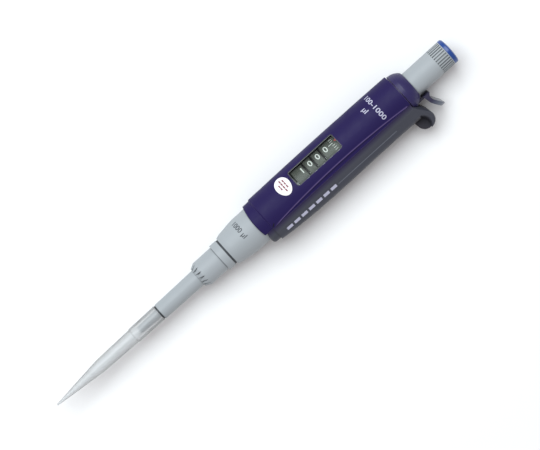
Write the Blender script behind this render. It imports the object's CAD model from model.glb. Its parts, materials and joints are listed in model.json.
"""The looks of an adjustable micropipette that lies on a white bench, seen from straight above.

Stations run along the pipette from the tip's orifice towards the button, and radii are measured from its
centre line. Both are in millimetres, and angles round the pipette are in degrees from straight up towards
-Y. The function `at` turns them into the frame's metres.
"""
import bpy
import bmesh
import json
from math import asin, ceil, cos, degrees, hypot, pi, radians, sin
from mathutils import Matrix, Vector
from mathutils.bvhtree import BVHTree


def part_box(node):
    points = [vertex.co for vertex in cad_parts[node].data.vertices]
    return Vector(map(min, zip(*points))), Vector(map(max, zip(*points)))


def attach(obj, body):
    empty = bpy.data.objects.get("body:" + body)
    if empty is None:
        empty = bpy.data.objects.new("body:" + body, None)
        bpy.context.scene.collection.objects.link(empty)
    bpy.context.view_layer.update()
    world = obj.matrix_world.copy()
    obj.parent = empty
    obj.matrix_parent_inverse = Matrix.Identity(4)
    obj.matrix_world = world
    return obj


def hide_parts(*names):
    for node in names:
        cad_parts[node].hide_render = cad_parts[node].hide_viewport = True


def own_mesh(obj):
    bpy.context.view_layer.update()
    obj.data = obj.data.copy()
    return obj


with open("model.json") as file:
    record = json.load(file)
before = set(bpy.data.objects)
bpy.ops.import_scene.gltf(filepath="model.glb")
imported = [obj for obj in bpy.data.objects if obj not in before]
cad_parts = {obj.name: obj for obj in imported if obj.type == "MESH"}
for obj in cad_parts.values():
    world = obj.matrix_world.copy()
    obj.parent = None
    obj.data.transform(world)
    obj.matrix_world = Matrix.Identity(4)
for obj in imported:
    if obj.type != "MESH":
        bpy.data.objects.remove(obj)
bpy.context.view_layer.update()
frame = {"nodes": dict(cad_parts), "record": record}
MM = 0.001

# Directions round the centre line
HOOK_ANGLE = 106.0
WINDOW_ANGLE = -23.0
LABEL_ANGLE = -26.6
SHOWN_ANGLE = -28.0  # where the counter's digits are read

# Tones painted by place: "out" is the distance from the centre line towards the hook
SEAM_OUT, SEAM_FADE = 4.9, 2.6  # where the rear cover's violet cast starts to fade, and over how much
LEVER_OUT, LEVER_FADE = 12.0, 3.5  # where the ejector lever starts to turn grey, and over how much
SCOOP_STATION, SCOOP_OUT = 234.8, 18.7
SCOOP_R, SCOOP_FADE = 5.35, 0.4
CREASE_START, CREASE_MIDDLE, CREASE_END = 144.0, 190.2, 235.6
CREASE_FADE_IN, CREASE_FADE_OUT = 4.0, 0.6
CREASE_OUT, CREASE_BOW = 1.45, 0.00127  # its distance out at the middle, and how far it bows away
CREASE_SOLID, CREASE_HALF = 0.1, 0.55  # half the width of its full tone, and of the whole crease
EDGE_REACH = 0.24
EDGE_WORN, EDGE_PLAIN = 0.86, 0.98  # how alike the true and the rounded normals are there
SHUT_IN, OPEN = 0.25, 0.9  # how much light reaches the floor of a cavity, and a plain surface

# Depths of surface relief
GRAIN_DEPTH = 0.05
LINE_DEPTH = 0.02
WAVE_DEPTH = 0.1

# Radii that print and the window's bezel are wrapped round
DRUM_R = 10.3
SLEEVE_R = 10.4
HANDLE_R = 12.4
LABEL_R = 12.5
MARKER_R, LENS_R = 12.2, 12.25
DASH_R, FLANK_R = 14.2, 14.3

CONE_START = 117.6  # where the ejector sleeve's cone begins

tip_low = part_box("pipette_tip")[0]
button_low, button_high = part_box("button_cap")
AXIS_Y = (button_low.y + button_high.y) / 2
AXIS_Z = (button_low.z + button_high.z) / 2
START_X = tip_low.x


def station(node, end=1):
    """The station of a node's end: end 0 is nearer the tip."""
    return (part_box(node)[end].x - START_X) / MM


def at(s, radius, angle):
    """The point at a station, radius and angle, in metres."""
    a = radians(angle)
    return Vector((START_X + s * MM, AXIS_Y - sin(a) * radius * MM, AXIS_Z + cos(a) * radius * MM))


# Materials ------------------------------------------------------------------------------------------------

def srgb(red, green, blue):
    """A linear colour from display values of 0 to 255."""
    shares = [c / 255 for c in (red, green, blue)]
    return tuple(c / 12.92 if c <= 0.04045 else ((c + 0.055) / 1.055) ** 2.4 for c in shares) + (1,)


def toned(colour, share):
    """A colour made this many times as bright."""
    return tuple(min(1, c * share) for c in colour[:3]) + (1,)


class Nodes:
    """A material's node tree, with short calls to add nodes and links."""

    def __init__(self, name):
        self.material = bpy.data.materials.new(name)
        self.material.use_nodes = True
        self.tree = self.material.node_tree
        self.tree.nodes.clear()
        self.output = self.add("OutputMaterial")

    def add(self, kind, **inputs):
        """Adds a node. An input's name has underscores for its spaces."""
        node = self.tree.nodes.new("ShaderNode" + kind)
        for name, value in inputs.items():
            self.put(node, name.replace("_", " "), value)
        return node

    def put(self, node, socket, value):
        """Links another node's output to a socket, or sets the socket's own value."""
        if isinstance(value, bpy.types.NodeSocket):
            self.tree.links.new(value, node.inputs[socket])
        else:
            node.inputs[socket].default_value = value

    def place(self):
        """The shaded point in the frame's metres, because every object sits at the origin."""
        return self.add("TexCoord").outputs["Object"]

    def noise(self, scale, detail=3.0, roughness=0.5, stretch=(1, 1, 1)):
        place = self.place()
        if stretch != (1, 1, 1):
            place = self.add("Mapping", Vector=place, Scale=stretch).outputs["Vector"]
        node = self.add("TexNoise", Vector=place, Scale=scale, Detail=detail, Roughness=roughness)
        return node.outputs["Fac"]

    def between(self, factor, low, high, start=0.0, end=1.0):
        """Maps factor from start..end onto low..high."""
        node = self.add("MapRange", Value=factor, From_Min=start, From_Max=end, To_Min=low, To_Max=high)
        return node.outputs["Result"]

    def varied(self, noise, low, high):
        """Spreads a noise over low..high: nearly all of it lies between 0.3 and 0.7."""
        return self.between(noise, low, high, 0.3, 0.7)

    def mix(self, factor, first, second):
        """Mixes two colours."""
        node = self.add("Mix")
        node.data_type = "RGBA"
        for socket, value in ((0, factor), (6, first), (7, second)):
            self.put(node, socket, value)
        return node.outputs[2]

    def mix_shaders(self, factor, first, second):
        node = self.add("MixShader", Fac=factor)
        self.put(node, 1, first.outputs[0])
        self.put(node, 2, second.outputs[0])
        return node

    def maths(self, operation, *values):
        node = self.add("Math")
        node.operation = operation
        for socket, value in enumerate(values):
            self.put(node, socket, value)
        return node.outputs[0]

    def dot(self, first, second):
        node = self.add("VectorMath")
        node.operation = "DOT_PRODUCT"
        self.put(node, 0, first)
        self.put(node, 1, second)
        return node.outputs["Value"]

    def rounded(self, reach, samples=4):
        """The normal of a surface whose edges are rounded over this many millimetres."""
        node = self.add("Bevel", Radius=reach * MM)
        node.samples = samples
        return node.outputs["Normal"]

    def distance_out(self):
        """Distance from the centre line towards the hook, in millimetres."""
        a = radians(HOOK_ANGLE)
        centre = (-sin(a) * AXIS_Y + cos(a) * AXIS_Z) / MM
        return self.maths("SUBTRACT", self.dot(self.place(), (0, -sin(a) / MM, cos(a) / MM)), centre)

    def distance_along(self, s):
        """Distance from a station towards the button, in millimetres."""
        x = self.add("SeparateXYZ", Vector=self.place()).outputs["X"]
        return self.maths("MULTIPLY_ADD", x, 1 / MM, -(START_X / MM + s))

    def seam_mask(self):
        """One at the rear cover's seam, zero on the rest of it."""
        return self.between(self.distance_out(), 1, 0, SEAM_OUT, SEAM_OUT + SEAM_FADE)

    def lever_end_mask(self):
        """One at the ejector lever's outer end."""
        return self.between(self.distance_out(), 0, 1, LEVER_OUT, LEVER_OUT + LEVER_FADE)

    def crease_mask(self):
        """One along the polished edge of the sunk ledge beside the rear cover, whose line bows."""
        along = self.distance_along(CREASE_MIDDLE)
        line = self.maths("MULTIPLY_ADD", self.maths("MULTIPLY", along, along), CREASE_BOW, CREASE_OUT)
        beside = self.maths("ABSOLUTE", self.maths("SUBTRACT", self.distance_out(), line))
        first, last = CREASE_START - CREASE_MIDDLE, CREASE_END - CREASE_MIDDLE
        begun = self.between(along, 0, 1, first, first + CREASE_FADE_IN)
        unended = self.between(along, 1, 0, last - CREASE_FADE_OUT, last)
        near = self.between(beside, 1, 0, CREASE_SOLID, CREASE_HALF)
        return self.maths("MULTIPLY", near, self.maths("MULTIPLY", unended, begun))

    def scoop_mask(self):
        """One inside the finger scoops of the hook."""
        along = self.distance_along(SCOOP_STATION)
        out = self.maths("SUBTRACT", self.distance_out(), SCOOP_OUT)
        squares = [self.maths("MULTIPLY", part, part) for part in (along, out)]
        reach = self.maths("SQRT", self.maths("ADD", *squares))
        return self.between(reach, 1, 0, SCOOP_R - SCOOP_FADE, SCOOP_R)

    def worn_edge_mask(self):
        """One along sharp edges, zero on smooth surfaces."""
        true_normal = self.add("NewGeometry").outputs["Normal"]
        likeness = self.dot(self.rounded(EDGE_REACH, samples=8), true_normal)
        return self.between(likeness, 1, 0, EDGE_WORN, EDGE_PLAIN)

    def finish(self, shader):
        """Shows a shader node's first output, and gives the material."""
        self.tree.links.new(shader.outputs[0], self.output.inputs["Surface"])
        return self.material


def plastic(name, colour, roughness, grain=0.04, edge=0.12, variation=0.05, specular=0.5, shine=0.0,
            cavity=0.0, cavity_reach=0.8, painted=()):
    """Moulded plastic: spark-eroded grain, faint flow marks, soft edges and darker cavities.

    A painted tone is a pair: the mask that says where it lies, and its colour.
    """
    n = Nodes(name)
    flow = n.noise(scale=90, detail=4, roughness=0.55, stretch=(0.35, 1, 1))
    fine = n.noise(scale=9000, detail=2, roughness=0.6)
    smudge = n.noise(scale=160, detail=5, roughness=0.6)
    bump = n.add("Bump", Strength=grain, Distance=GRAIN_DEPTH * MM, Height=fine,
                 Normal=n.rounded(edge, samples=6))
    shade = n.mix(n.varied(flow, 0, 1), toned(colour, 1 - variation), toned(colour, 1 + variation))
    for mask, tone in painted:
        shade = n.mix(mask(n), shade, tone)
    if cavity:
        depth = n.add("AmbientOcclusion", Distance=cavity_reach * MM)
        depth.samples = 8
        openness = n.between(depth.outputs["AO"], 0, 1, SHUT_IN, OPEN)
        shade = n.mix(openness, toned(colour, 1 - cavity), shade)
    shader = n.add("BsdfPrincipled", Base_Color=shade, IOR=1.49, Normal=bump.outputs["Normal"],
                   Roughness=n.varied(smudge, roughness * 0.88, roughness * 1.14),
                   Specular_IOR_Level=specular, Coat_Weight=shine, Coat_Roughness=0.12)
    return n.finish(shader)


def metal(name, colour, roughness, turned=True):
    """Metal with fine lines: round the pipette's axis where it is turned, along it where it is drawn."""
    n = Nodes(name)
    lines = n.noise(scale=1200, detail=2, stretch=(1, 0.04, 0.04) if turned else (0.05, 1, 1))
    tone = n.between(n.noise(scale=220), 0, 1, 0.35, 0.65)
    bump = n.add("Bump", Strength=0.15, Distance=LINE_DEPTH * MM, Height=lines, Normal=n.rounded(0.08))
    shader = n.add("BsdfPrincipled", Base_Color=n.mix(tone, toned(colour, 0.86), colour), Metallic=1.0,
                   Roughness=n.varied(lines, roughness * 0.8, roughness * 1.25),
                   Normal=bump.outputs["Normal"])
    return n.finish(shader)


def clear(name, tint, milk_colour, haze, roughness, sheen_share):
    """Clear or cloudy plastic: light goes straight through, with a sheen that grows at glancing angles."""
    n = Nodes(name)
    wave = n.noise(scale=300, stretch=(0.3, 1, 1))
    normal = n.add("Bump", Strength=0.04, Distance=WAVE_DEPTH * MM, Height=wave).outputs["Normal"]
    through = n.add("BsdfTransparent", Color=tint)
    milk = n.mix_shaders(0.5, n.add("BsdfTranslucent", Color=milk_colour, Normal=normal),
                         n.add("BsdfDiffuse", Color=milk_colour, Normal=normal))
    cloud = n.noise(scale=120, stretch=(0.4, 1, 1))
    inside = n.mix_shaders(n.varied(cloud, haze * 0.85, haze * 1.15), through, milk)
    sheen = n.add("BsdfGlossy", Color=(sheen_share, sheen_share, sheen_share, 1), Roughness=roughness,
                  Normal=normal)
    fresnel = n.add("Fresnel", IOR=1.45, Normal=normal)
    return n.finish(n.mix_shaders(fresnel.outputs[0], inside, sheen))


def ink(name, colour, roughness=0.6):
    """A thin coat of print."""
    return plastic(name, colour, roughness, grain=0.02, edge=0.02)


worn_violet = (Nodes.worn_edge_mask, srgb(92, 80, 122))
crease_shine = (Nodes.crease_mask, srgb(86, 73, 116))
violet_cast = (Nodes.seam_mask, srgb(33, 25, 62))
scoop_shade = (Nodes.scoop_mask, srgb(38, 36, 46))
lever_grey = (Nodes.lever_end_mask, srgb(88, 96, 110))

finishes = {
    "purple_plastic": plastic("violet_plastic", srgb(32, 23, 73), 0.55, grain=0.05, specular=0.16,
                              cavity=0.15, painted=(worn_violet, crease_shine)),
    "grey_plastic": plastic("slate_plastic", srgb(60, 62, 72), 0.5, grain=0.05, specular=0.4,
                            cavity=0.6, cavity_reach=3.0, painted=(violet_cast, scoop_shade)),
    "light_grey_plastic": plastic("pale_grey_plastic", srgb(156, 162, 166), 0.5, grain=0.03,
                                  variation=0.02, specular=0.4, cavity=0.75),
    "dark_plastic": plastic("charcoal_plastic", srgb(34, 34, 38), 0.5),
    "black_plastic": plastic("black_plastic", srgb(12, 12, 14), 0.5, specular=0.2),
    "lever_plastic": plastic("lever_plastic", srgb(36, 33, 62), 0.3, grain=0.03, shine=0.3,
                             cavity=0.6, cavity_reach=3.0, painted=(lever_grey,)),
    "blue_plastic": plastic("blue_plastic", srgb(12, 60, 132), 0.3, grain=0.02, shine=0.2),
    "drum_plastic": plastic("drum_plastic", srgb(80, 82, 75), 0.5, cavity=0.8, cavity_reach=1.0),
    "clear_lens": clear("lens_plastic", tint=(0.95, 0.97, 0.96, 1), milk_colour=(0.8, 0.84, 0.82, 1),
                        haze=0.01, roughness=0.25, sheen_share=0.12),
    "tip_plastic": clear("tip_plastic", tint=(0.95, 0.955, 0.96, 1), milk_colour=(0.86, 0.88, 0.885, 1),
                         haze=0.36, roughness=0.35, sheen_share=0.93),
    "white_label": plastic("label_vinyl", srgb(236, 234, 236), 0.5, grain=0.01, variation=0.01),
    "print_ink": ink("white_ink", srgb(176, 176, 196), roughness=0.55),
    "seal_plastic": plastic("seal_plastic", srgb(205, 202, 190), 0.4),
    "black_rubber": plastic("black_rubber", srgb(18, 18, 18), 0.7),
    "steel": metal("turned_steel", (0.60, 0.61, 0.63, 1), 0.3),
    "polished_steel": metal("polished_steel", (0.72, 0.73, 0.75, 1), 0.12),
    "spring_steel": metal("spring_steel", (0.5, 0.51, 0.53, 1), 0.28, turned=False),
    "brass": metal("turned_brass", (0.72, 0.55, 0.26, 1), 0.3),
}
drum_ink = ink("drum_ink", srgb(245, 246, 242))
dark_ink = ink("grey_ink", srgb(62, 66, 72))
line_ink = ink("line_ink", srgb(92, 96, 106))
red_ink = ink("red_ink", srgb(140, 34, 32), roughness=0.55)
rose_ink = ink("rose_ink", srgb(128, 72, 80), roughness=0.55)
bezel_plastic = plastic("bezel_plastic", srgb(74, 78, 80), 0.35, grain=0.02, edge=0.05)
groove_plastic = plastic("groove_plastic", srgb(58, 62, 66), 0.6, grain=0.02, edge=0.05)
nozzle_plastic = plastic("nozzle_plastic", srgb(114, 124, 132), 0.45, grain=0.03, variation=0.02)
cap_plastic = plastic("cap_plastic", srgb(34, 26, 78), 0.42, grain=0.04, specular=0.45, cavity=0.3,
                      painted=(worn_violet,))


def coat(node, material):
    """Gives a CAD node its material."""
    materials = frame["nodes"][node].data.materials
    materials.clear()
    materials.append(material)


for part in frame["record"]["subparts"]:
    coat(part["node"], finishes[part["material_slot"]])

# Single nodes that are smoother or darker than the rest of their slot
coat("tip_nozzle", nozzle_plastic)
coat("top_cap", cap_plastic)
for number in (1, 2, 3):
    coat(f"pinion_plate_{number}", finishes["black_plastic"])


# Pieces ---------------------------------------------------------------------------------------------------

def add_piece(name, mesh, material, body, smooth=False):
    """Turns a bmesh into an object that rides on a body."""
    bmesh.ops.recalc_face_normals(mesh, faces=mesh.faces[:])
    data = bpy.data.meshes.new(name)
    mesh.to_mesh(data)
    mesh.free()
    data.materials.append(material)
    for polygon in data.polygons:
        polygon.use_smooth = smooth
    piece = bpy.data.objects.new(name, data)
    bpy.context.collection.objects.link(piece)
    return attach(piece, body)


def skin(mesh, one, two):
    """Joins two rings of the same number of corners with a band of faces."""
    for k in range(len(one)):
        after = (k + 1) % len(one)
        mesh.faces.new((one[k], two[k], two[after], one[after]))


# Printing -------------------------------------------------------------------------------------------------

INK = 0.03  # thickness of printed ink
INK_LIFT = 0.01  # its gap from the surface
OUTSIDE = 40  # a radius well clear of the pipette
FONT_SIZE = 1.38  # the font's size for a figure one millimetre high
CELL = 0.6  # print is cut into cells of this size before it is wrapped
CELLS = 20  # on each side of its middle


class Print:
    """Ink on the outside of a node: shapes are drawn flat in millimetres, then wrapped onto the surface."""

    def __init__(self, name, node, radius, lift=INK_LIFT):
        self.name, self.radius, self.lift = name, radius, lift
        self.surface = BVHTree.FromObject(frame["nodes"][node], bpy.context.evaluated_depsgraph_get())
        self.mesh = bmesh.new()

    def point(self, s, angle, height):
        """A point above the node's surface at a station and angle."""
        start = at(s, OUTSIDE, angle)
        axis = at(s, 0, angle)
        hit = self.surface.ray_cast(start, (axis - start).normalized())[0]
        radius = (hit - axis).length / MM
        return at(s, radius + self.lift + height, angle)

    def wrap(self, flat, s, angle, reads_round):
        """Adds a flat mesh. It reads round the pipette with its top towards the button, or along it."""
        for cell in range(-CELLS, CELLS + 1):
            for direction in ((1, 0, 0), (0, 1, 0)):
                geometry = flat.verts[:] + flat.edges[:] + flat.faces[:]
                cut = Vector(direction) * cell * CELL
                bmesh.ops.bisect_plane(flat, geom=geometry, plane_co=cut, plane_no=direction)
        wrapped = {}
        for v in flat.verts:
            along, round_by = (v.co.y, v.co.x) if reads_round else (v.co.x, -v.co.y)
            place = self.point(s + along, angle + degrees(round_by / self.radius), v.co.z)
            wrapped[v] = self.mesh.verts.new(place)
        for f in flat.faces:
            self.mesh.faces.new([wrapped[v] for v in f.verts])
        flat.free()

    def text(self, words, height, s, angle, reads_round=True, width=1.0, bold=0.0):
        """Adds words in Blender's own plain font, centred on a station and angle."""
        data = bpy.data.curves.new("words", "FONT")
        data.body = words
        data.align_x = "CENTER"
        data.size = height * FONT_SIZE
        data.extrude = INK / 2
        data.offset = bold
        data.resolution_u = 3
        source = bpy.data.objects.new("words", data)
        bpy.context.collection.objects.link(source)
        shape = source.evaluated_get(bpy.context.evaluated_depsgraph_get()).to_mesh()
        flat = bmesh.new()
        flat.from_mesh(shape)
        bpy.data.objects.remove(source)
        middle = (max(v.co.y for v in flat.verts) + min(v.co.y for v in flat.verts)) / 2
        for v in flat.verts:
            v.co = (v.co.x * width, v.co.y - middle, v.co.z + INK / 2)
        self.wrap(flat, s, angle, reads_round)

    def bar(self, length, breadth, s, angle, shift=0.0, reads_round=False, slant=0.0):
        """Adds a plain bar, its length along the reading direction or turned from it by the slant."""
        flat = bmesh.new()
        bmesh.ops.create_cube(flat, size=1)
        for v in flat.verts:
            v.co = (v.co.x * length + shift, v.co.y * breadth, (v.co.z + 0.5) * INK)
        flat.transform(Matrix.Rotation(radians(slant), 4, "Z"))
        self.wrap(flat, s, angle, reads_round)

    def triangle(self, length, breadth, s, angle):
        """Adds a triangle that points along the pipette: towards the button for a positive length."""
        flat = bmesh.new()
        corners = [(-length / 2, breadth / 2), (-length / 2, -breadth / 2), (length / 2, 0)]
        low, high = ([flat.verts.new((x, y, z)) for x, y in corners] for z in (0, INK))
        flat.faces.new(high)
        flat.faces.new(low[::-1])
        skin(flat, high, low)
        bmesh.ops.recalc_face_normals(flat, faces=flat.faces[:])
        self.wrap(flat, s, angle, reads_round=False)

    def done(self, material, body):
        """Makes the object and lets it ride on a body."""
        return add_piece(self.name, self.mesh, material, body)


# Counter digits: each drum carries 0 to 9, and a lower digit comes up from the hook's side
COUNTER = (("thousands", 1, 173.6), ("hundreds", 0, 178.9), ("tens", 0, 184.1), ("units", 0, 189.5))
DIGIT_STEP, DIGIT_HEIGHT = 36.0, 3.5
TICKS, TICKS_TO_A_DIGIT = 50, 5
LONG_TICK = {"length": 2.9, "breadth": 0.28, "s": 193.1}
SHORT_TICK = {"length": 1.7, "breadth": 0.22, "s": 194.3}

for drum, shown, digit_station in COUNTER:
    digits = Print(drum + "_digits", drum + "_drum", DRUM_R)
    for digit in range(10):
        turned = SHOWN_ANGLE + DIGIT_STEP * (shown - digit)
        digits.text(str(digit), DIGIT_HEIGHT, digit_station, turned, reads_round=False, width=1.05, bold=0.05)
    if drum == "units":
        for tick in range(TICKS):
            size = SHORT_TICK if tick % TICKS_TO_A_DIGIT else LONG_TICK
            digits.bar(angle=SHOWN_ANGLE + DIGIT_STEP * tick / TICKS_TO_A_DIGIT, **size)
    digits.done(drum_ink, "drum_" + drum)

# Pointers at the two ends of the window
window_start, window_end = station("window_lens", 0), station("window_lens")
pointer = Print("window_pointer", "handle_shell", HANDLE_R)
pointer.triangle(length=-0.9, breadth=1.1, s=window_start - 0.66, angle=SHOWN_ANGLE)
pointer.done(finishes["black_plastic"], "handle")
marker = Print("index_marker", "window_lens", MARKER_R)
marker.triangle(length=-1.5, breadth=1.8, s=window_end - 0.84, angle=SHOWN_ANGLE + 3)
marker.done(red_ink, "handle")

# Short dark mould mark where the lip meets the rear cover
mark = Print("seam_mark", "handle_shell", HANDLE_R)
mark.bar(length=2.5, breadth=0.5, s=143.9, angle=30.5, slant=39)
mark.done(finishes["black_plastic"], "handle")

# Volume range on the handle and largest volume on the ejector sleeve, in generic figures
volume = Print("volume_range", "handle_shell", HANDLE_R)
volume.text("100-1000", height=2.7, s=222.8, angle=-22, width=1.28, bold=0.06)
volume.text("\u00b5l", height=2.9, s=217.6, angle=-29, width=1.1, bold=0.07)
volume.done(finishes["print_ink"], "handle")
largest = Print("volume_mark", "ejector_sleeve", SLEEVE_R)
largest.text("1000 \u00b5l", height=2.8, s=129.2, angle=-24.5, width=0.98, bold=0.04)
largest.done(dark_ink, "ejector")

# Plain dashes and a fine line on the rear cover's flank
DASHES, DASH_START, DASH_STEP = 7, 149.9, 5.0
dashes = Print("flank_dashes", "rear_cover", DASH_R)
for k in range(DASHES):
    dashes.bar(length=3.7, breadth=1.5, s=DASH_START + DASH_STEP * k, angle=61)
dashes.done(finishes["print_ink"], "handle")
flank_line = Print("flank_line", "rear_cover", FLANK_R)
flank_line.bar(length=40, breadth=0.35, s=203, angle=62)
flank_line.done(line_ink, "handle")

# Broken lines on the inspection label: each row's distance from the middle, and its bars' places and lengths
LABEL_ROWS = (
    (-1.6, ((-0.9, 1.5), (0.9, 1.5))),
    (0.0, ((-3.0, 1.7), (-1.0, 1.7), (1.0, 1.7), (3.0, 1.7))),
    (1.6, ((-2.2, 1.6), (-0.3, 1.6), (1.7, 1.7))),
)
LABEL_BAR = 0.75  # breadth of a bar
label_middle = (station("inspection_label", 0) + station("inspection_label")) / 2
lines = Print("label_lines", "inspection_label", LABEL_R)
for row, bars in LABEL_ROWS:
    for shift, length in bars:
        lines.bar(length, LABEL_BAR, label_middle + row, LABEL_ANGLE, shift=shift, reads_round=True)
lines.done(rose_ink, "handle")


# Window bezel ---------------------------------------------------------------------------------------------

BEZEL_HALF, BEZEL_CORNER = 4.99, 1.25  # the window opening's half breadth and corner radius
BEZEL_GAP, BEZEL_CREST, BEZEL_FOOT = 0.12, 0.33, 0.55  # distances in from the opening's edge
BEZEL_HEIGHT = 0.12
BEZEL_SUNK = 0.05
CORNER_STEPS = 6


def corner_points(start, end, half, corner):
    """The four corners of a rounded rectangle: each corner's centre and the directions round it."""
    for x, y, first in ((end - corner, half - corner, 0), (start + corner, half - corner, 90),
                        (start + corner, -half + corner, 180), (end - corner, -half + corner, 270)):
        for k in range(CORNER_STEPS + 1):
            yield x, y, radians(first + k * 90 / CORNER_STEPS)


def bezel(name, start, end):
    """A thin raised lip round the inside of the window."""
    lens = Print(name, "window_lens", LENS_R, lift=-BEZEL_SUNK)
    profile = ((BEZEL_GAP, 0), (BEZEL_GAP, BEZEL_HEIGHT), (BEZEL_CREST, BEZEL_HEIGHT), (BEZEL_FOOT, 0))
    rings = []
    for x, y, a in corner_points(start, end, BEZEL_HALF, BEZEL_CORNER):
        reaches = [(BEZEL_CORNER - inset, rise) for inset, rise in profile]
        rings.append([(x + cos(a) * reach, y + sin(a) * reach, rise) for reach, rise in reaches])
    placed = []
    for ring, after in zip(rings, rings[1:] + rings[:1]):
        pieces = max(1, ceil(hypot(after[0][0] - ring[0][0], after[0][1] - ring[0][1]) / CELL))
        for step in range(pieces):
            t = step / pieces
            part_way = [tuple(p + (q - p) * t for p, q in zip(one, two)) for one, two in zip(ring, after)]
            corners = [lens.point(x, WINDOW_ANGLE - degrees(asin(y / LENS_R)), z) for x, y, z in part_way]
            placed.append([lens.mesh.verts.new(corner) for corner in corners])
    for one, two in zip(placed, placed[1:] + placed[:1]):
        skin(lens.mesh, one, two)
    return lens.done(bezel_plastic, "handle")


bezel("window_bezel", window_start, window_end)


# Dark floors of two grooves -------------------------------------------------------------------------------

GROOVE_SIDES = 96


def groove_floor(name, start, end, outer, inner, clearance, body):
    """A dark ring round the centre line that closes the bottom of a groove."""
    mesh = bmesh.new()
    near, far = start + clearance, end - clearance
    rings = [[mesh.verts.new(at(s, radius, k * 360 / GROOVE_SIDES)) for k in range(GROOVE_SIDES)]
             for s, radius in ((near, inner), (near, outer), (far, outer), (far, inner))]
    for one, two in zip(rings, rings[1:] + rings[:1]):
        skin(mesh, one, two)
    return add_piece(name, mesh, groove_plastic, body)


groove_floor("sleeve_groove_floor", station("ejector_collar"), CONE_START,
             outer=7.75, inner=6.68, clearance=0.02, body="ejector")
groove_floor("nozzle_shoulder", station("pipette_tip"), station("ejector_tube", 0),
             outer=4.12, inner=3.62, clearance=0.05, body="handle")


# Springs --------------------------------------------------------------------------------------------------

STEPS_A_TURN = 24
WIRE_SIDES = 10
GROUND = 0.55  # how far apart the closed end turns lie, as a share of the wire
SEAT_GAP = 0.02


def coil(node, turns, wire, out=0.0, closed=1.5):
    """A round-wire compression spring that fills the CAD sleeve, with closed and ground ends."""
    low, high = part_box(node)
    start = station(node, 0)
    length = station(node) - start
    radius = (high.z - low.z) / 2 / MM - wire / 2
    centre = at(start, out, HOOK_ANGLE)
    mesh = bmesh.new()
    steps = int(turns * STEPS_A_TURN)
    dead = closed / turns
    dead_run = closed * wire * GROUND
    rings = []
    for k in range(steps + 1):
        t = k / steps
        live = min(max((t - dead) / (1 - 2 * dead), 0), 1)
        closed_part = (min(t, dead) + max(t - 1 + dead, 0)) / dead
        along = wire / 2 + closed_part * dead_run + live * (length - wire - 2 * dead_run)
        a = t * turns * 2 * pi
        ring = []
        for j in range(WIRE_SIDES):
            b = j / WIRE_SIDES * 2 * pi
            r = radius + cos(b) * wire / 2
            x = min(max(along + sin(b) * wire / 2, SEAT_GAP), length - SEAT_GAP)
            ring.append(mesh.verts.new(centre + Vector((x, -sin(a) * r, cos(a) * r)) * MM))
        rings.append(ring)
    for one, two in zip(rings, rings[1:]):
        skin(mesh, one, two)
    mesh.faces.new(rings[0])
    mesh.faces.new(rings[-1][::-1])
    spring = add_piece(node + "_coil", mesh, finishes["spring_steel"], "handle", smooth=True)
    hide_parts(node)
    return spring


def squash_to(spring):
    """The coil closes towards its tip end by as much as the joint travels."""
    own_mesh(spring)


main_coil = coil("main_spring", turns=10, wire=0.9)
squash_to(main_coil)
ejector_coil = coil("ejector_spring", turns=16, wire=0.5, out=11.4)
squash_to(ejector_coil)
coil("blowout_spring", turns=4.5, wire=0.85, closed=1.0)
coil("seal_spring", turns=3.5, wire=0.6, closed=1.0)


# Camera, bench and light, in metres -----------------------------------------------------------------------

CAMERA_HEIGHT = 1.8
VIEW_WIDTH = 0.277
SLOPE = radians(42.17)  # how steeply the pipette climbs across the picture
AIM = at(142.8, 0, 0) + Vector((0, -4.8 * MM, 0))
BENCH_HALF = 6
PAPER = (0.86, 0.86, 0.86, 1)
LIT_POINT = Vector((0, 0, 0.01))
SOFT_LIGHT, SOFT_COLOUR = 0.56, (1.0, 0.965, 0.975, 1)

camera_data = bpy.data.cameras.new("camera")
camera_data.lens = camera_data.sensor_width * CAMERA_HEIGHT / VIEW_WIDTH
camera = bpy.data.objects.new("camera", camera_data)
bpy.context.collection.objects.link(camera)
right = Vector((cos(SLOPE), -sin(SLOPE), 0))
up = Vector((sin(SLOPE), cos(SLOPE), 0))
turn = Matrix((right, up, (0, 0, 1))).transposed().to_4x4()
camera.matrix_world = Matrix.Translation(AIM + Vector((0, 0, CAMERA_HEIGHT))) @ turn
bpy.context.scene.camera = camera

bench_mesh = bpy.data.meshes.new("bench")
bench_corners = [(x * BENCH_HALF, y * BENCH_HALF, 0) for x, y in ((-1, -1), (1, -1), (1, 1), (-1, 1))]
bench_mesh.from_pydata(bench_corners, [], [(0, 1, 2, 3)])
bench = bpy.data.objects.new("bench", bench_mesh)
bpy.context.collection.objects.link(bench)
paper = Nodes("bench_paper")
paper_bump = paper.add("Bump", Strength=0.02, Distance=WAVE_DEPTH * MM, Height=paper.noise(scale=800))
paper_shader = paper.add("BsdfDiffuse", Color=PAPER, Normal=paper_bump.outputs["Normal"])
bench_mesh.materials.append(paper.finish(paper_shader))

world = bpy.data.worlds.new("studio")
world.use_nodes = True
background = world.node_tree.nodes["Background"]
background.inputs["Color"].default_value = SOFT_COLOUR
background.inputs["Strength"].default_value = SOFT_LIGHT
bpy.context.scene.world = world
bpy.context.scene.view_settings.view_transform = "Standard"


def softbox(name, place, width, height, power, colour):
    """A rectangular light that looks at the middle of the pipette."""
    data = bpy.data.lights.new(name, "AREA")
    data.shape = "RECTANGLE"
    data.size, data.size_y = width, height
    data.energy = power
    data.color = colour
    light = bpy.data.objects.new(name, data)
    light.location = place
    light.rotation_euler = (LIT_POINT - Vector(place)).to_track_quat("-Z", "Y").to_euler()
    bpy.context.collection.objects.link(light)


softbox("key", place=(0.02, 0.56, 1.20), width=1.2, height=1.0, power=18, colour=(0.90, 0.97, 1.0))
